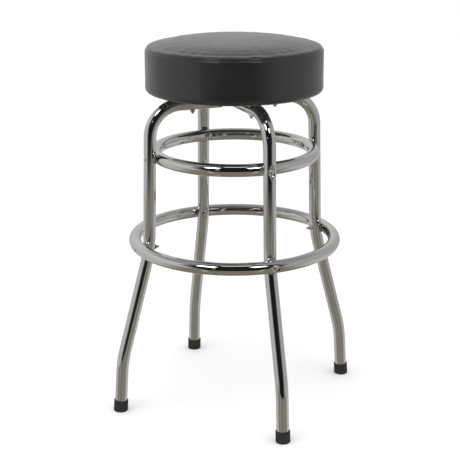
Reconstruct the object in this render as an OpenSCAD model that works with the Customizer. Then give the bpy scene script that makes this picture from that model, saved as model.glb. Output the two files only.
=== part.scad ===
/* [Frame tube] */
// Outside diameter of the frame tube
tube_d = 25.4; // [24:0.2:27]
// Wall thickness of the frame tube
tube_wall = 1.5; // [1.2:0.1:2]

/* [Hoop legs] */
// Height of the tube centre where the two hoops cross under the seat
hoop_z = 643; // [600:1:700]
// Radius at which a leg's straight line would meet the crossing run
shoulder_r = 179; // [174:1:184]
// Centre-line bend radius of the arch
arch_bend = 64; // [50:1:75]
// Radius of the leg at the knee, where it starts to splay
knee_r = 187.5; // [186:0.5:190]
// Height of the knee
knee_z = 345; // [330:1:350]
// Radius of the leg at the ankle, where the splay eases off
ankle_r = 251.5; // [240:0.5:260]
// Height of the ankle
ankle_z = 110; // [90:1:130]
// Radius of the leg's centre line at the floor
floor_r = 259; // [255:1:265]
// Centre-line bend radius of the knee and the ankle
leg_bend = 260; // [120:10:300]

/* [Rings] */
// Centre-line radius of the upper ring, inside the legs
upper_ring_r = 162.4; // [160:0.2:164]
// Height of the upper ring's centre
upper_ring_z = 537; // [520:1:550]
// Centre-line radius of the foot ring, outside the legs
foot_ring_r = 208; // [206:0.5:210]
// Height of the foot ring's centre
foot_ring_z = 352; // [348:1:356]

/* [Rubber feet] */
// Outside diameter of a rubber foot
foot_d = 29.6; // [29:0.2:34]
// Height of a rubber foot along the leg
foot_h = 24; // [18:1:30]
// Rubber between the end of the tube and the floor
foot_sole = 5; // [3:0.5:7]
// Rounding of the foot's lower edge
foot_round = 3; // [1:0.5:4]

/* [Fasteners] */
// Diameter of every through bolt
bolt_d = 6; // [5:0.5:6]
// Diameter of a domed bolt head
head_d = 11; // [10:0.5:12]
// Height of a domed bolt head
head_h = 3.2; // [2.5:0.1:4]
// Width across the flats of a nut
nut_af = 10; // [9:0.5:10]
// Height of a nut
nut_h = 5; // [4:0.5:6]
// Play of a bolt in its hole, on the radius
bolt_play = 0.05; // [0.02:0.01:0.1]

/* [Swivel plates] */
// Side of the square swivel plates
plate_side = 152; // [146:1:156]
// Corner rounding of the swivel plates
plate_corner = 10; // [6:1:14]
// Thickness of each plate
plate_t = 1.6; // [1.5:0.1:2]
// Distance of the plate's four holes from the swivel axis
plate_hole_r = 90; // [88:0.5:92]
// Clear height between the two plates
plate_gap = 6; // [5.8:0.1:6]
// Diameter of a bearing ball
ball_d = 6.35; // [6.35:0.05:6.4]
// Number of bearing balls
ball_count = 20; // [12:1:28]
// Radius of the circle on which the balls run
ball_track_r = 54; // [52:1:60]

/* [Seat] */
// Outside diameter of the seat
seat_d = 360; // [350:2:380]
// Height of the top of the seat above the floor
seat_top_z = 770; // [750:1:790]
// Rounding of the seat's upper edge
seat_shoulder = 14; // [10:1:18]
// Rounding of the seat's lower edge
seat_roll = 8; // [6:1:10]
// Rise of the crown from the shoulder to the middle
seat_crown = 7; // [2:0.5:8]
// Thickness of the vinyl
vinyl_t = 1.2; // [1:0.1:1.6]
// Thickness of the plywood seat board
board_t = 12; // [10:1:15]
// Diameter of the plywood seat board
board_d = 343; // [336:1:343]
// Inner radius of the vinyl turned under the board
flange_r = 152; // [145:1:156]
// Number of staples that hold the vinyl
vinyl_staple_count = 28; // [16:2:32]
// Number of staples that hold the dust cover
dust_staple_count = 14; // [8:2:18]

/* [Hidden] */
$fn = 96;
crown_facets = 720;
tiny = 0.01;
margin = 1;
legs = [0, 90, 180, 270];
tube_r = tube_d / 2;

// Leg line in the plane of its hoop, as radius and height
rod_overlap = 1;
leg_tilt = atan2(floor_r - ankle_r, ankle_z);
tube_end_up = foot_sole + rod_overlap;
tube_end = [floor_r - tube_end_up * sin(leg_tilt), tube_end_up * cos(leg_tilt)];
leg_line = [[0, hoop_z], [shoulder_r, hoop_z], [knee_r, knee_z], [ankle_r, ankle_z], tube_end];
leg_bends = [0, arch_bend, leg_bend, leg_bend, 0];

// Joint between a leg and the upper ring, which lies inside the legs
upper_tilt = (hoop_z - upper_ring_z) / (hoop_z - knee_z);
upper_leg_r = shoulder_r + (knee_r - shoulder_r) * upper_tilt;
upper_contact_r = (upper_leg_r + upper_ring_r) / 2;
dent_depth = 2.5;
upper_head_r = upper_leg_r + tube_r - dent_depth;
upper_nut_r = upper_ring_r - tube_r + dent_depth;
upper_bolt_tip = 2.5;
upper_end_r = upper_nut_r - nut_h - upper_bolt_tip;

// Joint between a leg and the foot ring, which lies outside the legs at the knee
knee_bow = 1.4;
knee_leg_r = knee_r + knee_bow;
lower_contact_r = (knee_leg_r + foot_ring_r) / 2;
lower_head_r = foot_ring_r + tube_r - dent_depth;
lower_nut_r = knee_leg_r - tube_r + dent_depth;
lower_bolt_tip = 7;
lower_end_r = lower_nut_r - nut_h - lower_bolt_tip;

// A bend is a hair thicker than the straight rods that run into it
bend_swell = 0.5;
seam_turn = 37;

// Saddles and dents pressed into the tubes
saddle_half = tube_r + 1;
saddle_depth = 12;
dent_floor_d = head_d + 2;
dent_mouth_d = head_d + 12;
dent_h = 6;
nut_seat = 1.1;
nut_seat_d = nut_af + 4;
lap_half = tube_r + 0.3;
lap_depth = 20;

// Start radius and length of the holes bored through a ring joint
joint_hole_r = 140;
joint_hole_h = 90;

// Swivel: two plates with a pressed ball groove, the lower one's hub and the upper one's collar
plate_z = hoop_z + tube_r;
upper_plate_z = plate_z + plate_t + plate_gap;
ball_z = plate_z + plate_t + plate_gap / 2;
ball_play = 0.15;
hub_r = 31.5;
hub_wall = 1.5;
hub_play = 0.6;
hub_top = upper_plate_z - 1;
hub_lip_r = hub_r + 5;
collar_r = hub_r + hub_play;
collar_wall_r = hub_lip_r + 3.5;
collar_z = hub_top - hub_wall - hub_play - plate_t;
plate_head_h = 2.4;
plate_bolt_tip = 4;
plate_bolt_end = hoop_z - tube_r + nut_seat - nut_h - plate_bolt_tip;
screw_d = 5;
screw_length = 12;
cage_t = 1.2;
cage_half = 6;

// Seat
dust_t = 0.6;
board_z = upper_plate_z + plate_t + dust_t;
board_top = board_z + board_t;
seat_r = seat_d / 2;
seat_low_z = board_z - vinyl_t;
panel_z = seat_top_z - seat_crown - seat_shoulder / 2;
skin_gap = 0.2;
staple_wire = 0.9;
staple_crown = 10;
staple_leg = 8;
slot_gap = 0.05;
vinyl_staple_r = 163;
dust_cover_r = flange_r - 0.5;
dust_staple_r = 146;

// --- Helpers ---------------------------------------------------------------

function unit(v) = v / norm(v);
function half_angle(a, p, b) = acos(unit(a - p) * unit(b - p)) / 2;
function setback(a, p, b, r) = r == 0 ? 0 : r / tan(half_angle(a, p, b));
function wrap(angle) = angle > 180 ? angle - 360 : (angle < -180 ? angle + 360 : angle);

// Straight rod between two points of the X-Z plane, a little longer at both ends
module rod(a, b, d) {
    run = b - a;
    from = a - unit(run) * rod_overlap;
    translate([from[0], 0, from[1]])
        rotate([0, atan2(run[0], run[1]), 0])
            rotate([0, 0, seam_turn])
                cylinder(d = d, h = norm(run) + 2 * rod_overlap);
}

// Bent rod that rounds the corner p between the points a and b
module bent_rod(a, p, b, r, d) {
    half = half_angle(a, p, b);
    cut = r / tan(half);
    centre = p + unit(unit(a - p) + unit(b - p)) * r / sin(half);
    from = p + unit(a - p) * cut - centre;
    to = p + unit(b - p) * cut - centre;
    sweep = wrap(atan2(to[1], to[0]) - atan2(from[1], from[0]));
    start = sweep < 0 ? atan2(to[1], to[0]) : atan2(from[1], from[0]);
    translate([centre[0], 0, centre[1]])
        rotate([90, 0, 0])
            rotate([0, 0, start])
                rotate_extrude(angle = abs(sweep))
                    translate([r, 0])
                        rotate(seam_turn)
                            circle(d = d + bend_swell);
}

// One leg from the end of the crossing run down to its foot
module leg_rod(d) {
    for (i = [1 : 3]) {
        a = leg_line[i - 1];
        p = leg_line[i];
        b = leg_line[i + 1];
        after = i < 3 ? setback(p, b, leg_line[i + 2], leg_bends[i + 1]) : 0;
        bent_rod(a, p, b, leg_bends[i], d);
        rod(p + unit(b - p) * setback(a, p, b, leg_bends[i]), b + unit(p - b) * after, d);
    }
}

// Whole hoop as a solid rod, with its legs along X
module hoop_rod(d) {
    run_half = shoulder_r - setback(leg_line[0], leg_line[1], leg_line[2], arch_bend);
    rod([-run_half, hoop_z], [run_half, hoop_z], d);
    for (side = [0, 180])
        rotate([0, 0, side])
            leg_rod(d);
}

// Cone pressed into a tube from outside, its axis along X and its floor at r
module dent(r, z, outward, grow) {
    translate([r - (outward ? grow : -grow), 0, z])
        rotate([0, outward ? 90 : -90, 0])
            cylinder(d1 = dent_floor_d + 2 * grow, d2 = dent_mouth_d + 2 * grow, h = dent_h);
}

// Slab that flattens a tube along the plane at r, on its inner or outer side
module saddle(r, z, outward, grow) {
    half = saddle_half + grow;
    translate([outward ? r - grow : r + grow - saddle_depth, -half, z - half])
        cube([saddle_depth, 2 * half, 2 * half]);
}

// Everything that is pressed out of one leg, grown by a wall for its bore
module leg_presses(grow) {
    saddle(upper_contact_r, upper_ring_z, false, grow);
    saddle(lower_contact_r, foot_ring_z, true, grow);
    dent(upper_head_r, upper_ring_z, true, grow);
    dent(lower_nut_r, foot_ring_z, false, grow);
    translate([plate_hole_r, 0, hoop_z - tube_r + nut_seat + grow - dent_h])
        cylinder(d = nut_seat_d + 2 * grow, h = dent_h);
}

// The four ring joints of a ring, seen from the ring
module ring_presses(contact_r, contact_out, head_r, head_out, z, grow) {
    for (turn = legs)
        rotate([0, 0, turn]) {
            saddle(contact_r, z, contact_out, grow);
            dent(head_r, z, head_out, grow);
        }
}

// Bolt hole along X through the joint of a leg and a ring
module joint_hole(z) {
    translate([joint_hole_r, 0, z])
        rotate([0, 90, 0])
            cylinder(d = bolt_d + 2 * bolt_play, h = joint_hole_h);
}

// Bolt holes of one leg
module leg_holes() {
    joint_hole(upper_ring_z);
    joint_hole(foot_ring_z);
    translate([plate_hole_r, 0, hoop_z - tube_d])
        cylinder(d = bolt_d + 2 * bolt_play, h = 2 * tube_d);
}

// Hollow hoop; the half of the tube on the given side is pressed away where the hoops cross
module hoop(press_up) {
    difference() {
        hoop_rod(tube_d);
        crossing_press(press_up, 0);
        for (side = [0, 180])
            rotate([0, 0, side])
                leg_presses(0);
        difference() {
            hoop_rod(tube_d - 2 * tube_wall);
            crossing_press(press_up, tube_wall);
            for (side = [0, 180])
                rotate([0, 0, side])
                    leg_presses(tube_wall);
        }
        for (side = [0, 180])
            rotate([0, 0, side])
                leg_holes();
    }
}

// Half of the tube that is pressed away where the hoops cross, grown by a wall for the bore
module crossing_press(press_up, grow) {
    reach = lap_half + grow;
    low = press_up ? hoop_z - lap_depth : hoop_z - grow;
    translate([-reach, -reach, low])
        cube([2 * reach, 2 * reach, lap_depth + grow]);
}

// Hollow ring with its four joints
module ring(r, z, contact_r, contact_out, head_r, head_out) {
    difference() {
        ring_rod(r, z, tube_d);
        ring_presses(contact_r, contact_out, head_r, head_out, z, 0);
        difference() {
            ring_rod(r, z, tube_d - 2 * tube_wall);
            ring_presses(contact_r, contact_out, head_r, head_out, z, tube_wall);
        }
        for (turn = legs)
            rotate([0, 0, turn])
                joint_hole(z);
    }
}

// Ring as a solid rod
module ring_rod(r, z, d) {
    translate([0, 0, z])
        rotate([0, 0, seam_turn])
            rotate_extrude()
                translate([r, 0])
                    rotate(seam_turn)
                        circle(d = d);
}

// Bolt along +Z: a domed head below z = 0 and a shank of the given length above it
module domed_bolt(length, dome_d, dome_h) {
    dome_r = (dome_d * dome_d / 4 + dome_h * dome_h) / (2 * dome_h);
    chamfer = 1;
    intersection() {
        translate([0, 0, dome_r - dome_h])
            sphere(r = dome_r);
        translate([0, 0, -dome_h])
            cylinder(d = dome_d, h = dome_h);
    }
    cylinder(d = bolt_d, h = length - chamfer);
    translate([0, 0, length - chamfer])
        cylinder(d1 = bolt_d, d2 = bolt_d - 2 * chamfer, h = chamfer);
}

// Hexagon nut on +Z with its underside at z = 0 and a clear thread hole
module nut() {
    difference() {
        cylinder(d = nut_af / cos(30), h = nut_h, $fn = 6);
        translate([0, 0, -tiny])
            cylinder(d = bolt_d + 2 * bolt_play, h = nut_h + 2 * tiny);
    }
}

// Square plate with rounded corners turned so that its corners point along X and Y
module plate_blank(z) {
    inner = plate_side - 2 * plate_corner;
    translate([0, 0, z])
        rotate([0, 0, 45])
            linear_extrude(plate_t)
                union() {
                    square([plate_side, inner], center = true);
                    square([inner, plate_side], center = true);
                    for (x = [-1, 1], y = [-1, 1])
                        translate([x * inner / 2, y * inner / 2])
                            circle(r = plate_corner);
                }
}

module plate_holes(z, d) {
    for (turn = legs)
        rotate([0, 0, turn])
            translate([plate_hole_r, 0, z - margin])
                cylinder(d = d + 2 * bolt_play, h = plate_t + 2 * margin);
}

module ball_groove() {
    translate([0, 0, ball_z])
        rotate_extrude()
            translate([ball_track_r, 0])
                circle(r = ball_d / 2 + ball_play);
}

// Flat round sleeve from z upwards
module collar(r_in, r_out, z, h) {
    translate([0, 0, z])
        difference() {
            cylinder(r = r_out, h = h);
            translate([0, 0, -margin])
                cylinder(r = r_in, h = h + 2 * margin);
        }
}

// Half section of the cushion, inset all round
module cushion_section(inset) {
    outer = seat_r - inset;
    low = seat_low_z + inset;
    edge_z = seat_top_z - seat_crown - inset;
    shoulder = seat_shoulder - inset;
    roll = seat_roll - inset;
    rim_r = seat_r - seat_shoulder;
    crown_r = (rim_r * rim_r + seat_crown * seat_crown) / (2 * seat_crown);
    translate([0, low])
        square([outer - roll, edge_z - shoulder - low]);
    translate([0, low + roll])
        square([outer, edge_z - shoulder - low - roll]);
    translate([outer - roll, low + roll])
        circle(r = roll);
    translate([0, edge_z - shoulder])
        square([rim_r, shoulder]);
    translate([rim_r, edge_z - shoulder])
        circle(r = shoulder);
    intersection() {
        translate([0, seat_top_z - inset - crown_r])
            circle(r = crown_r, $fn = crown_facets);
        translate([0, edge_z - margin])
            square([rim_r, seat_crown + 2 * margin]);
    }
}

module cushion_solid(inset) {
    rotate_extrude()
        cushion_section(inset);
}

// One staple driven upwards, its crown along X and its top face at z = 0
module staple() {
    half = staple_crown / 2;
    translate([-half, -staple_wire / 2, -staple_wire])
        cube([staple_crown, staple_wire, staple_wire]);
    for (x = [-half, half - staple_wire])
        translate([x, -staple_wire / 2, -tiny])
            cube([staple_wire, staple_wire, staple_leg]);
}

module staple_ring(count, r, z) {
    for (i = [0 : count - 1])
        rotate([0, 0, (i + 0.5) * 360 / count])
            translate([r, 0, z])
                rotate([0, 0, 90])
                    staple();
}

// Slots that the staple legs pass through
module staple_slots(count, r, z) {
    side = staple_wire + 2 * slot_gap;
    half = staple_crown / 2;
    for (i = [0 : count - 1])
        rotate([0, 0, (i + 0.5) * 360 / count])
            translate([r - side / 2, 0, z - margin])
                for (y = [-half - slot_gap, half - staple_wire - slot_gap])
                    translate([0, y, 0])
                        cube([side, side, staple_leg + margin + slot_gap]);
}

// --- Frame -----------------------------------------------------------------

module hoop_left_right() {
    color("silver")
        hoop(true);
}

module hoop_front_back() {
    color("silver")
        rotate([0, 0, 90])
            hoop(false);
}

module upper_ring() {
    color("silver")
        ring(upper_ring_r, upper_ring_z, upper_contact_r, true, upper_nut_r, false);
}

module foot_ring() {
    color("silver")
        ring(foot_ring_r, foot_ring_z, lower_contact_r, false, lower_head_r, true);
}

// Rubber cap slipped over the end of the leg that lies at the given turn
module rubber_foot(turn) {
    sink = 1.2;
    reach = 2 * foot_d;
    color([0.15, 0.15, 0.15])
        rotate([0, 0, turn])
            intersection() {
                translate([floor_r, 0, 0])
                    rotate([0, -leg_tilt, 0])
                        difference() {
                            union() {
                                translate([0, 0, foot_round - sink])
                                    cylinder(d = foot_d, h = foot_h - foot_round + sink);
                                translate([0, 0, -sink])
                                    cylinder(d = foot_d - 2 * foot_round, h = foot_h);
                                translate([0, 0, foot_round - sink])
                                    rotate_extrude()
                                        translate([foot_d / 2 - foot_round, 0])
                                            circle(r = foot_round);
                            }
                            translate([0, 0, foot_sole])
                                cylinder(d = tube_d + 2 * bolt_play, h = foot_h);
                        }
                translate([floor_r - reach, -reach, 0])
                    cube(2 * reach);
            }
}

// Fasteners at the four joints of a ring, with +Z of the child pointing inwards
module at_legs(r, z) {
    for (turn = legs)
        rotate([0, 0, turn])
            translate([r, 0, z])
                rotate([0, -90, 0])
                    children();
}

module upper_ring_bolts() {
    color("gainsboro")
        at_legs(upper_head_r, upper_ring_z)
            domed_bolt(upper_head_r - upper_end_r, head_d, head_h);
}

module upper_ring_nuts() {
    color("gainsboro")
        at_legs(upper_nut_r, upper_ring_z)
            nut();
}

module foot_ring_bolts() {
    color("gainsboro")
        at_legs(lower_head_r, foot_ring_z)
            domed_bolt(lower_head_r - lower_end_r, head_d, head_h);
}

module foot_ring_nuts() {
    color("gainsboro")
        at_legs(lower_nut_r, foot_ring_z)
            nut();
}

// --- Swivel ----------------------------------------------------------------

module swivel_lower_plate() {
    color("darkgray")
        difference() {
            union() {
                plate_blank(plate_z);
                collar(hub_r - hub_wall, hub_r, plate_z, hub_top - plate_z);
                collar(hub_r - hub_wall, hub_lip_r, hub_top - hub_wall, hub_wall);
            }
            translate([0, 0, plate_z - margin])
                cylinder(r = hub_r - hub_wall, h = plate_t + 2 * margin);
            plate_holes(plate_z, bolt_d);
            ball_groove();
        }
}

module lower_plate_bolts() {
    color("gainsboro")
        for (turn = legs)
            rotate([0, 0, turn])
                translate([plate_hole_r, 0, plate_z + plate_t])
                    rotate([180, 0, 0])
                        domed_bolt(plate_z + plate_t - plate_bolt_end, head_d, plate_head_h);
}

module lower_plate_nuts() {
    color("gainsboro")
        for (turn = legs)
            rotate([0, 0, turn])
                translate([plate_hole_r, 0, hoop_z - tube_r + nut_seat - nut_h])
                    nut();
}

module ball_cage() {
    color("goldenrod")
        difference() {
            collar(ball_track_r - cage_half, ball_track_r + cage_half, ball_z - cage_t / 2, cage_t);
            for (i = [0 : ball_count - 1])
                rotate([0, 0, i * 360 / ball_count])
                    translate([ball_track_r, 0, ball_z - cage_t])
                        cylinder(d = ball_d + 2 * bolt_play, h = 2 * cage_t);
        }
}

module bearing_balls() {
    color("lightgray")
        for (i = [0 : ball_count - 1])
            rotate([0, 0, i * 360 / ball_count])
                translate([ball_track_r, 0, ball_z])
                    sphere(d = ball_d);
}

module swivel_upper_plate() {
    color("darkgray")
        difference() {
            union() {
                difference() {
                    plate_blank(upper_plate_z);
                    translate([0, 0, upper_plate_z - margin])
                        cylinder(r = collar_wall_r, h = plate_t + 2 * margin);
                }
                collar(collar_wall_r, collar_wall_r + plate_t, collar_z, upper_plate_z + plate_t - collar_z);
                collar(collar_r, collar_wall_r + tiny, collar_z, plate_t);
            }
            plate_holes(upper_plate_z, screw_d);
            ball_groove();
        }
}

// --- Seat ------------------------------------------------------------------

module upper_plate_screws() {
    color("gainsboro")
        for (turn = legs)
            rotate([0, 0, turn])
                translate([plate_hole_r, 0, upper_plate_z])
                    pan_screw();
}

// Wood screw driven upwards with its head under z = 0
module pan_screw() {
    head_low_d = 6.5;
    head_top_d = 9.5;
    height = 2.2;
    tip = 3;
    tip_d = 1;
    translate([0, 0, -height])
        cylinder(d1 = head_low_d, d2 = head_top_d, h = height);
    cylinder(d = screw_d, h = screw_length - tip);
    translate([0, 0, screw_length - tip])
        cylinder(d1 = screw_d, d2 = tip_d, h = tip);
}

module screw_holes(z, h) {
    for (turn = legs)
        rotate([0, 0, turn])
            translate([plate_hole_r, 0, z])
                cylinder(d = screw_d + 2 * bolt_play, h = h);
}

module seat_board() {
    color("burlywood")
        difference() {
            translate([0, 0, board_z])
                cylinder(d = board_d, h = board_t);
            screw_holes(board_z - margin, screw_length);
            staple_slots(vinyl_staple_count, vinyl_staple_r, board_z);
            staple_slots(dust_staple_count, dust_staple_r, board_z);
        }
}

module foam_pad() {
    color("khaki")
        difference() {
            cushion_solid(vinyl_t + skin_gap);
            translate([0, 0, seat_low_z - margin])
                cylinder(d = board_d + 2 * bolt_play, h = board_top - seat_low_z + margin);
        }
}

// Whole vinyl cover, open in the middle of its underside
module vinyl_skin() {
    difference() {
        cushion_solid(0);
        cushion_solid(vinyl_t);
        translate([0, 0, seat_low_z - margin])
            cylinder(r = flange_r, h = vinyl_t + 2 * margin);
    }
}

module above_panel_seam() {
    translate([-seat_d, -seat_d, panel_z])
        cube([2 * seat_d, 2 * seat_d, seat_d]);
}

module vinyl_top_panel() {
    color([0.13, 0.13, 0.13])
        intersection() {
            vinyl_skin();
            above_panel_seam();
        }
}

module vinyl_side_band() {
    color([0.13, 0.13, 0.13])
        difference() {
            vinyl_skin();
            above_panel_seam();
            staple_slots(vinyl_staple_count, vinyl_staple_r, seat_low_z);
        }
}

module vinyl_staples() {
    color("gray")
        staple_ring(vinyl_staple_count, vinyl_staple_r, seat_low_z);
}

module dust_cover() {
    color([0.2, 0.2, 0.2])
        difference() {
            translate([0, 0, board_z - dust_t])
                cylinder(r = dust_cover_r, h = dust_t);
            screw_holes(board_z - dust_t - margin, dust_t + 2 * margin);
            staple_slots(dust_staple_count, dust_staple_r, board_z - dust_t);
        }
}

module dust_cover_staples() {
    color("gray")
        staple_ring(dust_staple_count, dust_staple_r, board_z - dust_t);
}

hoop_left_right();
hoop_front_back();
upper_ring();
foot_ring();
rubber_foot(270);  // rubber_foot_front
rubber_foot(0);  // rubber_foot_right
rubber_foot(90);  // rubber_foot_back
rubber_foot(180);  // rubber_foot_left
upper_ring_bolts();
upper_ring_nuts();
foot_ring_bolts();
foot_ring_nuts();
swivel_lower_plate();
lower_plate_bolts();
lower_plate_nuts();
ball_cage();
bearing_balls();
swivel_upper_plate();
upper_plate_screws();
seat_board();
foam_pad();
vinyl_top_panel();
vinyl_side_band();
vinyl_staples();
dust_cover();
dust_cover_staples();
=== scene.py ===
"""Looks of a round swivel stool: padded vinyl seat, crossed chrome hoops, two rings and rubber feet."""

import math
import random

import bpy
import numpy as np
from mathutils import Matrix, Vector, kdtree


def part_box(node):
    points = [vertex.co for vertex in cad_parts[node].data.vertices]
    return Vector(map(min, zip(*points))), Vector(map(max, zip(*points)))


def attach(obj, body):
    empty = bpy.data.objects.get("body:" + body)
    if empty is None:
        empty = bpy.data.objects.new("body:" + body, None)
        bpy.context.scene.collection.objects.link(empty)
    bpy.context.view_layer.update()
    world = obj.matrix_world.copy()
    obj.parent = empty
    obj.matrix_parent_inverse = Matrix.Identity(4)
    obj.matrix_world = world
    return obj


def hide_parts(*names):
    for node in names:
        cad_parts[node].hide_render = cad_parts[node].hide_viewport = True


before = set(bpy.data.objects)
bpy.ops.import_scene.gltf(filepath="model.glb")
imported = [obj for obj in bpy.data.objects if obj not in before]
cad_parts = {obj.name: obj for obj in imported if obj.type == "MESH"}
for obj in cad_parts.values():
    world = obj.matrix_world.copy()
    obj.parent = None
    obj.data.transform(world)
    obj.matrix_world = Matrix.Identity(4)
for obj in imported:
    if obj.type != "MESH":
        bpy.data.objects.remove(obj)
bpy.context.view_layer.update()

# --- Sizes, in metres --------------------------------------------------------

MM = 0.001
LEG_TURNS = (0, 90, 180, 270)
FOOT_TURNS = {"front": 270, "right": 0, "back": 90, "left": 180}


def low(node):
    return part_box(node)[0]


def high(node):
    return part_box(node)[1]


def radii(node):
    """Smallest and largest distance of a CAD node's vertices from the swivel axis."""
    found = [math.hypot(v.co.x, v.co.y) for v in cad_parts[node].data.vertices]
    return min(found), max(found)


# Tubes and rings, from the frame
tube_r = (high("foot_ring").z - low("foot_ring").z) / 2
foot_ring_z = (high("foot_ring").z + low("foot_ring").z) / 2
foot_ring_r = radii("foot_ring")[1] - tube_r
upper_ring_z = (high("upper_ring").z + low("upper_ring").z) / 2
upper_ring_r = radii("upper_ring")[1] - tube_r
plate_z = low("swivel_lower_plate").z
hoop_z = plate_z - tube_r

# Line of a leg in the plane of its hoop, as radius and height of the corners and their bend radii
foot_r = 259 * MM
foot_sole = 5 * MM
leg_corners = (
    (0.0, hoop_z, 0.0),
    (179 * MM, hoop_z, 64 * MM),
    (187.5 * MM, 345 * MM, 260 * MM),
    (251.5 * MM, 110 * MM, 260 * MM),
    (foot_r, 0.0, 0.0),
)
foot_tilt = math.atan2(leg_corners[4][0] - leg_corners[3][0], leg_corners[3][1])

# Planes of the bolted joints, from the fasteners of the frame
head_h = 3.2 * MM
head_d = 11 * MM
bolt_d = 6 * MM
nut_af = 10 * MM
nut_h = 5 * MM
upper_head_r = high("upper_ring_bolts").x - head_h
upper_nut_r = high("upper_ring_nuts").x
upper_end_r = radii("upper_ring_bolts")[0]
lower_head_r = high("foot_ring_bolts").x - head_h
lower_nut_r = high("foot_ring_nuts").x
lower_end_r = radii("foot_ring_bolts")[0]
plate_bolt_r = (high("lower_plate_nuts").x + radii("lower_plate_nuts")[0]) / 2
plate_nut_z = high("lower_plate_nuts").z
plate_head_h = 2.4 * MM
plate_head_z = high("lower_plate_bolts").z - plate_head_h
plate_end_z = low("lower_plate_bolts").z
dent_depth = 2.5 * MM
upper_contact_r = ((upper_head_r - tube_r + dent_depth) + (upper_nut_r + tube_r - dent_depth)) / 2
lower_contact_r = ((lower_nut_r + tube_r - dent_depth) + (lower_head_r - tube_r + dent_depth)) / 2

# Seat, from the frame
seat_r = high("vinyl_side_band").x
seat_top_z = high("vinyl_top_panel").z
seat_low_z = low("vinyl_side_band").z
board_low_z = low("seat_board").z
board_top_z = high("seat_board").z
board_r = high("seat_board").x
seam_z = low("vinyl_top_panel").z
flange_r = high("dust_cover").x + 0.5 * MM
shoulder = 14 * MM
roll = 8 * MM
crown = seat_top_z - seam_z - shoulder / 2
vinyl_staple_r = high("vinyl_staples").x
dust_staple_r = radii("dust_cover_staples")[1]
dust_low_z = low("dust_cover").z


# --- Shaders -----------------------------------------------------------------


def feed(tree, socket, value):
    """Links another node's output to a socket, or sets the socket to a constant."""
    if isinstance(value, bpy.types.NodeSocket):
        tree.links.new(value, socket)
    else:
        socket.default_value = value


def add_node(tree, kind, inputs, **settings):
    """New shader node with its inputs, by name or number, and its settings."""
    node = tree.nodes.new("ShaderNode" + kind)
    for name, value in settings.items():
        setattr(node, name, value)
    for key, value in inputs.items():
        feed(tree, node.inputs[key], value)
    return node


def math_node(tree, operation, *values):
    return add_node(tree, "Math", dict(enumerate(values)), operation=operation).outputs["Value"]


class Shader:
    """A procedural material: a Principled shader with small helpers for its nodes."""

    def __init__(self, name, **constants):
        self.material = bpy.data.materials.new(name)
        self.material.use_nodes = True
        self.tree = self.material.node_tree
        self.bsdf = self.tree.nodes["Principled BSDF"]
        for socket, value in constants.items():
            self.bsdf.inputs[socket.replace("_", " ")].default_value = value
        self.coords = self.tree.nodes.new("ShaderNodeTexCoord").outputs["Object"]

    def link(self, output, socket):
        self.tree.links.new(output, self.bsdf.inputs[socket])

    def stretched(self, scale):
        return add_node(self.tree, "Mapping", {"Vector": self.coords, "Scale": scale}).outputs["Vector"]

    def noise(self, scale, detail=4.0, rough=0.55, distortion=0.0, vector=None):
        inputs = {"Scale": scale, "Detail": detail, "Roughness": rough, "Distortion": distortion}
        inputs["Vector"] = vector or self.coords
        return add_node(self.tree, "TexNoise", inputs).outputs["Fac"]

    def cells(self, scale, feature="F1"):
        inputs = {"Scale": scale, "Vector": self.coords}
        return add_node(self.tree, "TexVoronoi", inputs, feature=feature).outputs["Distance"]

    def cell_tint(self, scale):
        colour = add_node(self.tree, "TexVoronoi", {"Scale": scale, "Vector": self.coords}).outputs["Color"]
        return add_node(self.tree, "SeparateColor", {"Color": colour}).outputs["Red"]

    def remap(self, value, from_low, from_high, to_low, to_high):
        inputs = {"Value": value, "From Min": from_low, "From Max": from_high}
        inputs.update({"To Min": to_low, "To Max": to_high})
        return add_node(self.tree, "MapRange", inputs).outputs["Result"]

    def ramp(self, value, *stops):
        """Colour ramp through (position, colour) stops."""
        node = add_node(self.tree, "ValToRGB", {"Fac": value})
        elements = node.color_ramp.elements
        while len(elements) < len(stops):
            elements.new(0.5)
        for element, (position, colour) in zip(elements, stops):
            element.position = position
            element.color = (*colour, 1)
        return node.outputs["Color"]

    def blend(self, a, share_a, b):
        """Weighted sum of two values."""
        weighted_a = math_node(self.tree, "MULTIPLY", a, share_a)
        weighted_b = math_node(self.tree, "MULTIPLY", b, 1 - share_a)
        return math_node(self.tree, "ADD", weighted_a, weighted_b)

    def bump(self, height, distance, strength=1.0, under=None):
        inputs = {"Height": height, "Distance": distance, "Strength": strength}
        if under is not None:
            inputs["Normal"] = under
        return add_node(self.tree, "Bump", inputs).outputs["Normal"]


def chrome(name, tint, rough_low, rough_high):
    """Polished plate with faint smudges, drawing marks and a trace of orange peel."""
    s = Shader(name, Metallic=1.0)
    smudges = s.noise(14, detail=6, rough=0.6, distortion=0.8)
    light = tuple(min(1.0, c * 1.02) for c in tint)
    dark = tuple(c * 0.95 for c in tint)
    s.link(s.ramp(smudges, (0.3, dark), (0.7, light)), "Base Color")
    fine = s.noise(260, detail=3)
    mixed = s.blend(smudges, 0.75, fine)
    s.link(s.remap(mixed, 0.35, 0.7, rough_low, rough_high), "Roughness")
    peel = s.bump(s.noise(70, detail=2), 0.05 * MM, 0.25)
    marks = s.noise(900, detail=2, vector=s.stretched((1, 1, 0.08)))
    s.link(s.bump(marks, 0.01 * MM, 0.12, under=peel), "Normal")
    return s.material


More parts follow.
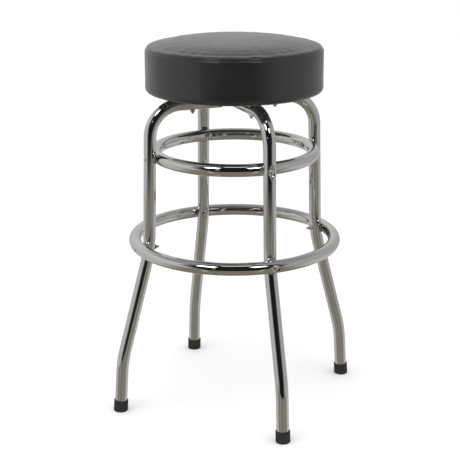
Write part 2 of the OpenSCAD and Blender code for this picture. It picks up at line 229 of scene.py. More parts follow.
def plated_steel(name, light, dark, rough_low, rough_high, spangle):
    """Zinc-plated or bare metal: cloudy tint, spangles and fine scratches."""
    s = Shader(name, Metallic=1.0)
    cloud = s.noise(35, detail=5, rough=0.6)
    grain = s.cell_tint(spangle)
    both = s.blend(cloud, 0.7, grain)
    s.link(s.ramp(both, (0.25, dark), (0.75, light)), "Base Color")
    s.link(s.remap(both, 0.25, 0.75, rough_low, rough_high), "Roughness")
    scratches = s.noise(700, detail=3, vector=s.stretched((0.1, 1, 1)))
    s.link(s.bump(scratches, 0.02 * MM, 0.25), "Normal")
    return s.material


def rubber(name):
    """Matt moulded rubber with a fine pitted skin and paler scuffs."""
    s = Shader(name)
    s.bsdf.inputs["Specular IOR Level"].default_value = 0.35
    scuffs = s.noise(90, detail=6, rough=0.65, distortion=0.4)
    clean, dull, worn = (0.017, 0.018, 0.018), (0.024, 0.025, 0.025), (0.045, 0.045, 0.043)
    s.link(s.ramp(scuffs, (0.35, clean), (0.62, dull), (0.8, worn)), "Base Color")
    s.link(s.remap(scuffs, 0.3, 0.75, 0.62, 0.82), "Roughness")
    skin = s.bump(s.noise(2600, detail=3), 0.06 * MM, 0.5)
    s.link(s.bump(s.noise(160, detail=3), 0.2 * MM, 0.25, under=skin), "Normal")
    return s.material


def vinyl(name):
    """Glossy black upholstery vinyl: fine leather grain, soft handling marks."""
    s = Shader(name, Coat_Weight=0.6, Coat_Roughness=0.09, Coat_IOR=1.5)
    wear = s.noise(7, detail=5, rough=0.6, distortion=0.6)
    s.link(s.ramp(wear, (0.3, (0.010, 0.0108, 0.0105)), (0.75, (0.018, 0.019, 0.0185))), "Base Color")
    patch = s.noise(45, detail=4, rough=0.6)
    rough = s.blend(wear, 0.5, patch)
    s.link(s.remap(rough, 0.35, 0.65, 0.24, 0.38), "Roughness")
    pores = s.bump(s.cells(620, feature="SMOOTH_F1"), 0.05 * MM, 0.2)
    edges = s.remap(s.cells(300, feature="DISTANCE_TO_EDGE"), 0.0, 0.12, 0.0, 1.0)
    lines = s.bump(edges, 0.03 * MM, 0.15, under=pores)
    swells = s.noise(11, detail=2, rough=0.4, vector=s.stretched((1, 1, 0.6)))
    s.link(s.bump(swells, 1.6 * MM, 0.35, under=lines), "Normal")
    return s.material


def dust_cloth(name):
    """Black non-woven cloth with pressed dots and stray fibres."""
    s = Shader(name, Roughness=0.95)
    s.bsdf.inputs["Sheen Weight"].default_value = 0.15
    s.bsdf.inputs["Specular IOR Level"].default_value = 0.15
    fibres = s.noise(900, detail=5, rough=0.7, distortion=2.5)
    s.link(s.ramp(fibres, (0.35, (0.012, 0.012, 0.013)), (0.7, (0.038, 0.038, 0.040))), "Base Color")
    dots = s.remap(s.cells(420), 0.05, 0.35, 0.0, 1.0)
    pressed = s.bump(dots, 0.15 * MM, 0.5)
    s.link(s.bump(fibres, 0.08 * MM, 0.4, under=pressed), "Normal")
    return s.material


def plywood(name):
    """Birch plywood: long face grain and darker glue lines at the edge."""
    s = Shader(name)
    grain = s.noise(60, detail=6, rough=0.6, distortion=1.2, vector=s.stretched((0.12, 1, 1)))
    plies = s.noise(420, detail=1, vector=s.stretched((0.02, 0.02, 1)))
    both = s.blend(grain, 0.65, plies)
    late, middle, early = (0.36, 0.22, 0.11), (0.58, 0.42, 0.25), (0.70, 0.55, 0.36)
    s.link(s.ramp(both, (0.3, late), (0.55, middle), (0.8, early)), "Base Color")
    s.link(s.remap(grain, 0.3, 0.7, 0.55, 0.75), "Roughness")
    s.link(s.bump(both, 0.15 * MM, 0.4), "Normal")
    return s.material


TUBE_CHROME = chrome("tube_chrome", (0.80, 0.80, 0.79), 0.035, 0.10)
BOLT_CHROME = chrome("fastener_chrome", (0.88, 0.88, 0.87), 0.14, 0.28)
RUBBER = rubber("foot_rubber")
VINYL = vinyl("seat_vinyl")
DUST_CLOTH = dust_cloth("dust_cloth")
PLYWOOD = plywood("plywood")
ZINC = plated_steel("zinc_plate", (0.62, 0.62, 0.60), (0.40, 0.40, 0.39), 0.24, 0.42, 160)
SCREW_STEEL = plated_steel("screw_steel", (0.58, 0.57, 0.54), (0.38, 0.37, 0.35), 0.28, 0.45, 500)
STAPLE_STEEL = plated_steel("staple_steel", (0.62, 0.62, 0.60), (0.42, 0.42, 0.41), 0.25, 0.42, 600)
BRASS = plated_steel("cage_brass", (0.78, 0.58, 0.27), (0.55, 0.38, 0.15), 0.22, 0.40, 220)
BALL_STEEL = plated_steel("ball_steel", (0.68, 0.68, 0.68), (0.52, 0.52, 0.52), 0.08, 0.18, 500)

# --- Mesh helpers ------------------------------------------------------------


def add_object(name, data):
    made = bpy.data.objects.new(name, data)
    bpy.context.scene.collection.objects.link(made)
    return made


def add_piece(name, vertices, faces, material, body, sharp_deg=None):
    """Shaded mesh object that rides on a body and takes a slot's finish."""
    mesh = bpy.data.meshes.new(name)
    mesh.from_pydata([tuple(v) for v in vertices], [], faces)
    mesh.validate()
    mesh.materials.append(material)
    mesh.polygons.foreach_set("use_smooth", [True] * len(mesh.polygons))
    if sharp_deg is not None:
        mesh.set_sharp_from_angle(angle=math.radians(sharp_deg))
    mesh.update()
    piece = add_object(name, mesh)
    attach(piece, body)
    return piece


def grid_faces(rows, columns, start=0, closed_rows=False, closed_columns=True):
    """Quads over rows of vertices; columns run round each row."""
    faces = []
    row_count = rows if closed_rows else rows - 1
    column_count = columns if closed_columns else columns - 1
    for i in range(row_count):
        a = start + i * columns
        b = start + (i + 1) % rows * columns
        for j in range(column_count):
            k = (j + 1) % columns
            faces.append((a + j, a + k, b + k, b + j))
    return faces


def flipped(faces):
    return [tuple(reversed(face)) for face in faces]


def turned(points, degrees):
    """Points turned about the swivel axis."""
    a = math.radians(degrees)
    matrix = np.array([[math.cos(a), math.sin(a), 0], [-math.sin(a), math.cos(a), 0], [0, 0, 1]])
    return np.asarray(points) @ matrix


def round_angles(columns):
    return np.arange(columns) * 2 * math.pi / columns


def round_row(radius, angles, z):
    """Row of points round the swivel axis; the radius and the height may change along it."""
    height = np.broadcast_to(z, angles.shape)
    return np.stack([radius * np.cos(angles), radius * np.sin(angles), height], axis=1)


def polar(points):
    """Radius and angle of each point about the swivel axis."""
    return np.hypot(points[:, 0], points[:, 1]), np.arctan2(points[:, 1], points[:, 0])


def angle_from(angle, centre):
    """Signed angle from a centre, between -pi and pi."""
    return np.mod(angle - centre + math.pi, 2 * math.pi) - math.pi


def above(excess, soft):
    """The excess where it is positive and 0 elsewhere, rounded off over a soft width."""
    return (excess + np.sqrt(excess * excess + soft * soft)) / 2


def fade(distance, flat, ramp):
    """1 within flat, falling smoothly to 0 at flat + ramp."""
    t = np.clip((distance - flat) / ramp, 0, 1)
    return 1 - t * t * (3 - 2 * t)


def join_copies(parts):
    """One vertex and face list from several (vertices, faces) parts."""
    vertices, faces = [], []
    for part_vertices, part_faces in parts:
        start = len(vertices)
        vertices.extend(np.asarray(part_vertices).tolist())
        faces.extend(tuple(i + start for i in face) for face in part_faces)
    return vertices, faces


def lathe(profile, columns):
    """Solid turned about +Z from (radius, height) points, with a pole at each end that has radius 0."""
    angles = round_angles(columns)
    vertices, rings = [], []
    for radius, height in profile:
        if radius < 1e-7:
            rings.append([len(vertices)])
            vertices.append((0.0, 0.0, height))
        else:
            rings.append(list(range(len(vertices), len(vertices) + columns)))
            vertices.extend((radius * math.cos(a), radius * math.sin(a), height) for a in angles)
    faces = []
    for a, b in zip(rings, rings[1:]):
        for j in range(columns):
            k = (j + 1) % columns
            if len(a) == 1:
                faces.append((a[0], b[k], b[j]))
            elif len(b) == 1:
                faces.append((a[j], a[k], b[0]))
            else:
                faces.append((a[j], a[k], b[k], b[j]))
    return np.array(vertices), faces


def arc(centre, radius, start, end, steps):
    """Points (radius, height) of an arc between two angles in degrees, both ends included."""
    found = []
    for i in range(steps + 1):
        a = math.radians(start + (end - start) * i / steps)
        found.append((centre[0] + radius * math.cos(a), centre[1] + radius * math.sin(a)))
    return found


# --- Tubes -------------------------------------------------------------------

TUBE_COLUMNS = 80
FINE_STEP = 0.9 * MM
COARSE_STEP = 7 * MM
BEND_STEP = 3 * MM
RING_STEP = 5 * MM

# Pressed shapes of a bolted joint: contact saddle, long lens and the cup in it
SADDLE = dict(flat=12.6 * MM, ramp=5 * MM, give=4 * MM)
CUP_DEPTH = 1.5 * MM
CUP_FLOOR = 6.4 * MM
CUP_WALL = 3.4 * MM
CUP_EDGE = 0.12 * MM
CUP_REACH = 30 * MM
CRUSHED = dict(flat=14.5 * MM, ramp=20 * MM, give=tube_r + 1 * MM, widen=0.07)
PLATE_NUT_SEAT = dict(flat=6 * MM, ramp=7 * MM, give=2 * MM)
JOINT_REACH = 42 * MM
LEG_POINT_GAP = 0.5 * MM
RING_POINTS = 8000
LENS = dict(flat=7 * MM, ramp=15 * MM, give=dent_depth - CUP_DEPTH + 0.8 * MM)


def leg_line(spacing):
    """Dense centre line of one leg from the swivel axis to its end, as (radius, height) points."""
    points = [np.array(c[:2]) for c in leg_corners]
    bends = [c[2] for c in leg_corners]
    end_up = foot_sole / math.cos(foot_tilt)
    points[-1] = points[-1] + (points[-2] - points[-1]) * end_up / (points[-2][1] - points[-1][1])
    line = [points[0]]

    def straight_to(target):
        run = target - line[-1]
        count = max(1, int(np.linalg.norm(run) / spacing))
        begin = line[-1]
        line.extend(begin + run * (i + 1) / count for i in range(count))

    for before, corner, after, bend in zip(points, points[1:], points[2:], bends[1:]):
        u = (before - corner) / np.linalg.norm(before - corner)
        v = (after - corner) / np.linalg.norm(after - corner)
        half = math.acos(float(np.clip(u @ v, -1, 1))) / 2
        straight_to(corner + u * bend / math.tan(half))
        centre = corner + (u + v) / np.linalg.norm(u + v) * bend / math.sin(half)
        begin = line[-1] - centre
        sweep = math.pi - 2 * half
        sign = 1 if u[0] * v[1] - u[1] * v[0] < 0 else -1
        count = max(2, int(bend * sweep / spacing))
        for i in range(1, count + 1):
            a = sign * sweep * i / count
            turn = np.array([[math.cos(a), -math.sin(a)], [math.sin(a), math.cos(a)]])
            line.append(centre + turn @ begin)
    straight_to(points[-1])
    return np.array(line)


def stations(line, fine_places, reach, bend_step=BEND_STEP):
    """Points picked from a dense line, close together near the given places and in the bends."""
    steps = np.linalg.norm(np.diff(line, axis=0), axis=1)
    along = np.concatenate([[0], np.cumsum(steps)])
    tangent = np.gradient(line, along, axis=0)
    bend = np.linalg.norm(np.gradient(tangent, along, axis=0), axis=1)
    wanted = np.where(bend > 1.0, bend_step, COARSE_STEP)
    for place in fine_places:
        distance = np.linalg.norm(line - np.array(place), axis=1)
        near = fade(distance, reach * 0.7, reach * 0.6)
        wanted = np.minimum(wanted, FINE_STEP * near + COARSE_STEP * (1 - near))
    amount = np.concatenate([[0], np.cumsum(steps / ((wanted[1:] + wanted[:-1]) / 2))])
    count = int(amount[-1]) + 1
    picked = np.interp(np.linspace(0, amount[-1], count), amount, along)
    return np.stack([np.interp(picked, along, line[:, i]) for i in range(line.shape[1])], axis=1)


def sweep(line, side, closed):
    """Tube vertices (station, column, xyz) round a 3-D line that lies in a plane with the normal side."""
    if closed:
        tangent = np.roll(line, -1, axis=0) - np.roll(line, 1, axis=0)
    else:
        tangent = np.gradient(line, axis=0)
    tangent /= np.linalg.norm(tangent, axis=1, keepdims=True)
    across = np.cross(tangent, side)
    angles = round_angles(TUBE_COLUMNS)
    return (
        line[:, None, :]
        + tube_r * np.cos(angles)[None, :, None] * across[:, None, :]
        + tube_r * np.sin(angles)[None, :, None] * np.array(side)[None, None, :]
    )


def press(points, origin, outward, along, flat, ramp, give, widen=0.0, soft=0.35 * MM, reach=60 * MM):
    """Presses a tube's wall back to a plane through origin; the plane eases off along the tube.

    outward points at the side that the material is pressed in from, and give is how far the plane has
    moved out beyond the flat part.
    """
    outward, along = np.array(outward, float), np.array(along, float)
    lateral = np.cross(along, outward)
    offset = points - np.array(origin)
    distance = np.abs(offset @ along)
    share = fade(distance, flat, ramp)
    near = np.linalg.norm(offset, axis=-1) < reach
    excess = offset @ outward - give * (1 - share)
    push = above(excess, soft)
    push = np.where(near & (share > 0), push * np.minimum(1, share * 4), 0)
    sideways = np.where(near, (offset @ lateral) * widen * share, 0)
    return points - push[..., None] * outward + sideways[..., None] * lateral


def dent(points, origin, outward, along):
    """Steep cup round a bolt head, in a longer pressed lens that runs out along the tube."""
    outward, along = np.array(outward, float), np.array(along, float)
    points = press(points, origin + CUP_DEPTH * outward, outward, along, **LENS)
    offset = points - origin
    height = offset @ outward
    spread = np.linalg.norm(offset - height[..., None] * outward, axis=-1)
    near = np.linalg.norm(offset, axis=-1) < CUP_REACH
    excess = height - 2 * CUP_DEPTH * (1 - fade(spread, CUP_FLOOR, CUP_WALL))
    push = above(excess, CUP_EDGE)
    push = np.where(near & (spread < CUP_FLOOR + CUP_WALL), push, 0)
    return points - push[..., None] * outward


def tube_piece(name, grid, closed, node):
    rows, columns = grid.shape[:2]
    faces = grid_faces(rows, columns, closed_rows=closed)
    if not closed:
        faces.append(tuple(reversed(range(columns))))
        faces.append(tuple(range((rows - 1) * columns, rows * columns)))
    piece = add_piece(name, grid.reshape(-1, 3), flipped(faces), TUBE_CHROME, "frame", sharp_deg=60)
    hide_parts(node)


def hoop(name, node, turn, keeps_upper_half):
    """One bent hoop with its pressed joints, made in the X-Z plane and turned into place."""
    half = leg_line(LEG_POINT_GAP)
    mirrored = half[:0:-1] * np.array([-1, 1])
    flat_line = np.concatenate([mirrored, half])
    joints = [(s * upper_contact_r, upper_ring_z) for s in (-1, 1)]
    joints += [(s * lower_contact_r, foot_ring_z) for s in (-1, 1)]
    joints += [(s * plate_bolt_r, hoop_z) for s in (-1, 1)] + [(0, hoop_z)]
    line = stations(flat_line, joints, JOINT_REACH)
    line = np.stack([line[:, 0], np.zeros(len(line)), line[:, 1]], axis=1)
    grid = sweep(line, (0, -1, 0), closed=False)
    up = 1 if keeps_upper_half else -1
    grid = press(grid, (0, 0, hoop_z), (0, 0, -up), (1, 0, 0), **CRUSHED)
    for s in (-1, 1):
        out = np.array([s, 0, 0])
        slope = (leg_corners[2][0] - leg_corners[1][0]) / (hoop_z - leg_corners[2][1])
        down = np.array([s * slope, 0, -1]) / math.hypot(slope, 1)
        upper, lower = np.array([0, 0, upper_ring_z]), np.array([0, 0, foot_ring_z])
        grid = press(grid, out * upper_contact_r + upper, -out, (0, 0, 1), **SADDLE)
        grid = dent(grid, out * upper_head_r + upper, out, down)
        grid = press(grid, out * lower_contact_r + lower, out, (0, 0, 1), **SADDLE)
        grid = dent(grid, out * lower_nut_r + lower, -out, (0, 0, 1))
        grid = press(grid, (s * plate_bolt_r, 0, plate_nut_z), (0, 0, -1), (1, 0, 0), **PLATE_NUT_SEAT)
    tube_piece(name, turned(grid, turn), False, node)


def ring(name, node, radius, height, contact_r, legs_outside, wall_r):
    """Bent ring, flattened where the legs touch it and dented at the bolts on the other side."""
    angles = np.linspace(0, 2 * math.pi, RING_POINTS, endpoint=False)
    dense = np.stack([radius * np.cos(angles), radius * np.sin(angles)], axis=1)
    dense = np.roll(dense, RING_POINTS // 8, axis=0)
    joints = [turned([(contact_r, 0, 0)], t)[0][:2] for t in LEG_TURNS]
    line = stations(dense, joints, JOINT_REACH, bend_step=RING_STEP)
    line = np.stack([line[:, 0], line[:, 1], np.full(len(line), height)], axis=1)
    grid = sweep(line, (0, 0, 1), closed=True)
    side = 1 if legs_outside else -1
    for turn in LEG_TURNS:
        out = turned([(1, 0, 0)], turn)[0]
        along = turned([(0, 1, 0)], turn)[0]
        level = np.array([0, 0, height])
        grid = press(grid, out * contact_r + level, side * out, along, **SADDLE)
        grid = dent(grid, out * wall_r + level, -side * out, along)
    tube_piece(name, grid, True, node)


hoop("hoop_tube_left_right", "hoop_left_right", 0, True)
hoop("hoop_tube_front_back", "hoop_front_back", -90, False)
ring("upper_ring_tube", "upper_ring", upper_ring_r, upper_ring_z, upper_contact_r, True, upper_nut_r)
ring("foot_ring_tube", "foot_ring", foot_ring_r, foot_ring_z, lower_contact_r, False, lower_head_r)

# --- Fasteners ---------------------------------------------------------------

THREAD_PITCH = 1 * MM
THREAD_DEPTH = 0.55 * MM
THREAD_ROWS = 8
BOLT_COLUMNS = 40


def bolt(length, dome_h, thread_from):
    """Domed bolt along +Z: head below 0, and a rolled thread from thread_from to the pointed end."""
    dome_r = (head_d * head_d / 4 + dome_h * dome_h) / (2 * dome_h)
    rim, edge, fillet, tip, dome_steps = 0.5 * MM, 0.2 * MM, 0.1 * MM, 1.2 * MM, 12
    half = math.degrees(math.asin(head_d / 2 / dome_r))
    profile = [(0.0, -dome_h)]
    profile += arc((0, dome_r - dome_h), dome_r, -90 + half / dome_steps, -90 + half * 0.93, dome_steps)
    profile += [(head_d / 2, -rim), (head_d / 2, -edge / 2), (head_d / 2 - edge, 0.0)]
    profile += [(bolt_d / 2 + fillet, 0.0), (bolt_d / 2, 3 * fillet), (bolt_d / 2, thread_from)]
    rows = int((length - thread_from) / (THREAD_PITCH / THREAD_ROWS))
    for i in range(1, rows + 1):
        z = thread_from + (length - thread_from) * i / rows
        taper = max(0.0, z - (length - tip))
        profile.append((bolt_d / 2 - taper, z))
    profile.append((0.0, length))
    vertices, faces = lathe(profile, BOLT_COLUMNS)
    radius, angle = polar(vertices)
    threaded = (vertices[:, 2] > thread_from + 1e-6) & (radius > 1e-6)
    phase = (vertices[:, 2] / THREAD_PITCH + angle / (2 * math.pi)) % 1
    run_in = np.clip((vertices[:, 2] - thread_from) / THREAD_PITCH, 0, 1)
    groove = THREAD_DEPTH * (1 - np.abs(2 * phase - 1)) * run_in
    scale = np.where(threaded, (radius - groove) / np.maximum(radius, 1e-9), 1)
    vertices[:, 0] *= scale
    vertices[:, 1] *= scale
    return vertices, faces


def nut():
    """Hexagon nut on +Z with chamfered corners and a countersunk hole."""
    per_side = 12
    columns = 6 * per_side
    angles = round_angles(columns)
    hexagon = nut_af / 2 / np.cos((angles % (math.pi / 3)) - math.pi / 6)
    hexagon = np.minimum(hexagon, nut_af / 2 * 1.135)
    heights = np.array([0, 0.12, 0.25, 0.4, 0.6, 0.85]) * MM
    heights = np.concatenate([heights, nut_h - heights[::-1]])
    rows = []
    hole = bolt_d / 2 + 0.05 * MM
    sink = 0.4 * MM
    rows.append(np.full(columns, hole + sink))
    levels = [0.0]
    for z in heights:
        cone = nut_af / 2 * 0.96 + min(z, nut_h - z) * math.sqrt(3)
        rows.append(np.minimum(hexagon, cone))
        levels.append(z)
    rows += [np.full(columns, hole + sink), np.full(columns, hole), np.full(columns, hole)]
    levels += [nut_h, nut_h - sink, sink]
    vertices = np.concatenate([round_row(radius, angles, z) for radius, z in zip(rows, levels)])
    return vertices, grid_faces(len(rows), columns, closed_rows=True)


def inward(part, r, z, spin):
    """Part on +Z laid along -X at radius r and height z, after a spin about its own axis."""
    vertices, faces = part
    spun = turned(vertices, spin)
    laid = np.stack([r - spun[:, 2], spun[:, 1], z + spun[:, 0]], axis=1)
    return laid, faces


def standing(part, r, z, spin):
    """Part on +Z hung upside down at radius r on the X axis."""
    vertices, faces = part
    spun = turned(vertices, spin)
    return np.stack([r + spun[:, 0], -spun[:, 1], z - spun[:, 2]], axis=1), faces


def fastener_set(name, node, part, place, seed):
    """Four copies of a fastener, one at each leg, each at its own random turn about its axis."""
    random.seed(seed)
    parts = []
    for turn in LEG_TURNS:
        vertices, faces = place(part, random.uniform(0, 60))
        parts.append((turned(vertices, turn), faces))
    vertices, faces = join_copies(parts)
    piece = add_piece(name, vertices, faces, BOLT_CHROME, "frame", sharp_deg=32)
    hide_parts(node)


THREAD_GAP = 0.5 * MM
FIRST_SPIN_SEED = 11


def bolt_for(head_at, nut_at, end_at, dome_h):
    """Bolt whose thread starts a little behind its nut's face."""
    return bolt(head_at - end_at, dome_h, head_at - nut_at + THREAD_GAP)


def across_legs(r, z):
    return lambda part, spin: inward(part, r, z, spin)


def under_hoops(z):
    return lambda part, spin: standing(part, plate_bolt_r, z, spin)


upper_bolt = bolt_for(upper_head_r, upper_nut_r, upper_end_r, head_h)
lower_bolt = bolt_for(lower_head_r, lower_nut_r, lower_end_r, head_h)
plate_bolt = bolt_for(plate_head_z, plate_nut_z, plate_end_z, plate_head_h)
FASTENER_SETS = (
    ("upper_ring_bolt_set", "upper_ring_bolts", upper_bolt, across_legs(upper_head_r, upper_ring_z)),
    ("foot_ring_bolt_set", "foot_ring_bolts", lower_bolt, across_legs(lower_head_r, foot_ring_z)),
    ("plate_bolt_set", "lower_plate_bolts", plate_bolt, under_hoops(plate_head_z)),
    ("upper_ring_nut_set", "upper_ring_nuts", nut(), across_legs(upper_nut_r, upper_ring_z)),
    ("foot_ring_nut_set", "foot_ring_nuts", nut(), across_legs(lower_nut_r, foot_ring_z)),
    ("plate_nut_set", "lower_plate_nuts", nut(), under_hoops(plate_nut_z)),
)
for seed, (set_name, cad_node, fastener, place) in enumerate(FASTENER_SETS, start=FIRST_SPIN_SEED):
    fastener_set(set_name, cad_node, fastener, place, seed)

# --- Rubber feet -------------------------------------------------------------

foot_outer_r = high("rubber_foot_front").x
foot_height = 24 * MM
foot_sink = 1.2 * MM


def rubber_foot(name, node, turn):
    """Moulded cup on the end of a leg: rounded sole, flared rim, worn flat on the floor."""
    r, bore = foot_outer_r, tube_r + 0.05 * MM
    round_r = 3 * MM
    profile = [(0.0, -foot_sink)]
    profile += [(x * MM, -foot_sink) for x in (2, 4, 5.4, 5.6, 6.6, 6.8, 8, 9.2, 9.4, 10.4, 10.6)]
    profile += arc((r - round_r, round_r - foot_sink), round_r, -90, 0, 8)
    profile += [(r, z * MM) for z in (5, 8, 11, 14, 17, 19.5)]
    profile += [(r - 0.05 * MM, 20.2 * MM), (r - 0.45 * MM, 20.6 * MM), (r - 0.45 * MM, 21.2 * MM)]
    profile += [(r - 0.1 * MM, 21.6 * MM)]
    profile += arc((r - 1.1 * MM, foot_height - 1.1 * MM), 1.1 * MM, 0, 80, 5)
    profile += [(bore + 0.25 * MM, foot_height), (bore, foot_height - 0.3 * MM)]
    profile += [(bore, 14 * MM), (bore, foot_sole), (0.0, foot_sole)]
    vertices, faces = lathe(profile, 72)
    radius = np.hypot(vertices[:, 0], vertices[:, 1])
    lean = Matrix.Rotation(-foot_tilt, 3, "Y")
    vertices = vertices @ np.array(lean).T
    vertices[:, 2] = np.maximum(vertices[:, 2], 0)
    under = vertices[:, 2] < 1 * MM
    for groove_r in (6.1 * MM, 9.9 * MM):
        vertices[:, 2] += np.where(under & (np.abs(radius - groove_r) < 0.55 * MM), 0.8 * MM, 0)
    vertices[:, 0] += foot_r
    piece = add_piece(name, turned(vertices, turn), faces, RUBBER, "frame", sharp_deg=50)
    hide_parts(node)


for place, foot_turn in FOOT_TURNS.items():
    rubber_foot("foot_cap_" + place, "rubber_foot_" + place, foot_turn)

# --- Seat cushion ------------------------------------------------------------

VINYL_STAPLES = 28
DUST_STAPLES = 14
SEAT_COLUMNS = 288
MAX_SWELL = 6 * MM
CLOTH_VOXEL = 5.5 * MM
CLOTH_STEPS = 20
CLOTH_SETTINGS = dict(
    quality=5,
    mass=0.4,
    tension_stiffness=12,
    compression_stiffness=12,
    bending_stiffness=2,
    use_pressure=True,
    uniform_pressure_force=4,
    shrink_min=-0.002,
    vertex_group_mass="held",
)
BAND_SEAM_TURN = -41
WRINKLE_COUNT = 34

# Sewn seams: width and depth of the crease, then reach and depth of the gathers beside them
TOP_SEAM = dict(width=1.5 * MM, depth=1.1 * MM)
BAND_SEAM = dict(width=1.3 * MM, depth=1.0 * MM)
SEAM_GATHER_REACH = 5 * MM
SEAM_GATHER_DEPTH = 0.09 * MM
LOW_GATHER_REACH = 9 * MM
LOW_GATHER_DEPTH = 0.5 * MM
SEAM_GATHERS = 96
LOW_GATHERS = 60
rim_r = seat_r - shoulder
shoulder_z = seat_top_z - crown - shoulder
crown_r = (rim_r * rim_r + crown * crown) / (2 * crown)
seam_angle = math.degrees(math.asin((seam_z - shoulder_z) / shoulder))
seam_r = rim_r + shoulder * math.cos(math.radians(seam_angle))


def cushion_outline():
    """(radius, height) points of the cushion's skin from the middle of the top to the board's pocket."""
    points = [(0.0, seat_top_z)]
    top_rows = 60
    for i in range(1, top_rows):
        r = rim_r * i / top_rows
        points.append((r, seat_top_z - crown_r + math.sqrt(crown_r * crown_r - r * r)))
    points += arc((rim_r, shoulder_z), shoulder, 90, 0, 16)
    side_low = seat_low_z + roll
    side_rows = 30
    points += [(seat_r, shoulder_z + (side_low - shoulder_z) * i / side_rows) for i in range(1, side_rows)]
    points += arc((seat_r - roll, side_low), roll, 0, -90, 9)
    return points


def pocket_outline():
    """(radius, height) points of the pocket that the seat board fills."""
    wall = board_r + 0.15 * MM
    lip = seat_low_z + 0.4 * MM
    roof = board_top_z + 0.1 * MM
    return [(wall, lip), (wall, board_top_z - 2 * MM), (wall, roof), (0.0, roof)]


def swelling(outline):
    """Where cloth under pressure moves the skin: rest points of a copy and how far each one goes."""
    closed = outline + [(0.0, outline[-1][1])]
    vertices, faces = lathe(closed, 96)
    mesh = bpy.data.meshes.new("swell_copy")
    mesh.from_pydata([tuple(v) for v in vertices], [], flipped(faces))
    copy = add_object("swell_copy", mesh)
    bpy.context.view_layer.objects.active = copy
    remesh = copy.modifiers.new("remesh", "REMESH")
    remesh.mode = "VOXEL"
    remesh.voxel_size = CLOTH_VOXEL
    bpy.ops.object.modifier_apply(modifier=remesh.name)
    held = copy.vertex_groups.new(name="held")
    rest = np.array([v.co for v in copy.data.vertices])
    radius = np.hypot(rest[:, 0], rest[:, 1])
    to_seam = np.hypot(radius - seam_r, rest[:, 2] - seam_z)
    for i in range(len(rest)):
        if rest[i, 2] < seat_low_z + 6 * MM or to_seam[i] < 4 * MM:
            held.add([i], 1.0, "REPLACE")
    settings = copy.modifiers.new("cloth", "CLOTH").settings
    for name, value in CLOTH_SETTINGS.items():
        setattr(settings, name, value)
    settings.effector_weights.gravity = 0
    for step in range(1, CLOTH_STEPS + 1):
        bpy.context.scene.frame_set(step)
    moved_copy = copy.evaluated_get(bpy.context.evaluated_depsgraph_get())
    moved = np.array([v.co for v in moved_copy.data.vertices]) - rest
    bpy.context.scene.frame_set(1)
    bpy.data.objects.remove(copy)
    length = np.linalg.norm(moved, axis=1, keepdims=True)
    moved *= np.minimum(1, MAX_SWELL / np.maximum(length, 1e-9))
    return rest, moved


def spread_swelling(vertices, rest, moved):
    """The copy's movement at each given vertex, averaged over its nearest points."""
    tree = kdtree.KDTree(len(rest))
    for i, point in enumerate(rest):
        tree.insert(point, i)
    tree.balance()
    result = np.zeros_like(vertices)
    for i, vertex in enumerate(vertices):
        near = tree.find_n(vertex, 10)
        weights = np.array([1 / (d + 2 * MM) ** 2 for _, _, d in near])
        result[i] = weights @ moved[[j for _, j, _ in near]] / weights.sum()
    return result


def crease(distance, width, depth):
    """Depth of a sewn crease at a distance from its line, with a soft raised lip on both sides."""
    groove = np.exp(-((distance / width) ** 2)) * depth
    lips = np.exp(-(((np.abs(distance) - 2.6 * width) / (1.3 * width)) ** 2)) * depth * 0.28
    return groove - lips


def wrinkles(angle, height, seed):
    """Short slanting puckers at random places of the side band."""
    random.seed(seed)
    total = np.zeros_like(angle)
    for _ in range(WRINKLE_COUNT):
        centre = random.uniform(-math.pi, math.pi)
        level = random.choice((random.uniform(0.03, 0.22), random.uniform(0.72, 0.95)))
        slant = random.uniform(-0.5, 0.5)
        length = random.uniform(8, 20) * MM
        width = random.uniform(1.6, 3.2) * MM
        depth = random.uniform(0.15, 0.5) * MM
        z = shoulder_z + (seat_low_z + roll - shoulder_z) * level
        across = angle_from(angle, centre) * seat_r
        up = height - z
        u = across * math.cos(slant) + up * math.sin(slant)
        v = -across * math.sin(slant) + up * math.cos(slant)
        total += depth * np.exp(-((u / width) ** 2) - (v / length) ** 2)
    return total


def puckers(angle, count, seed):
    """Uneven gathers round a sewn line, from 0 to 1."""
    random.seed(seed)
    total = np.zeros_like(angle)
    for _ in range(6):
        turns = count + random.randint(-14, 14)
        total += np.cos(turns * angle + random.uniform(0, 6.28)) * random.uniform(0.5, 1)
    return 0.5 + 0.5 * np.tanh(total / 2)


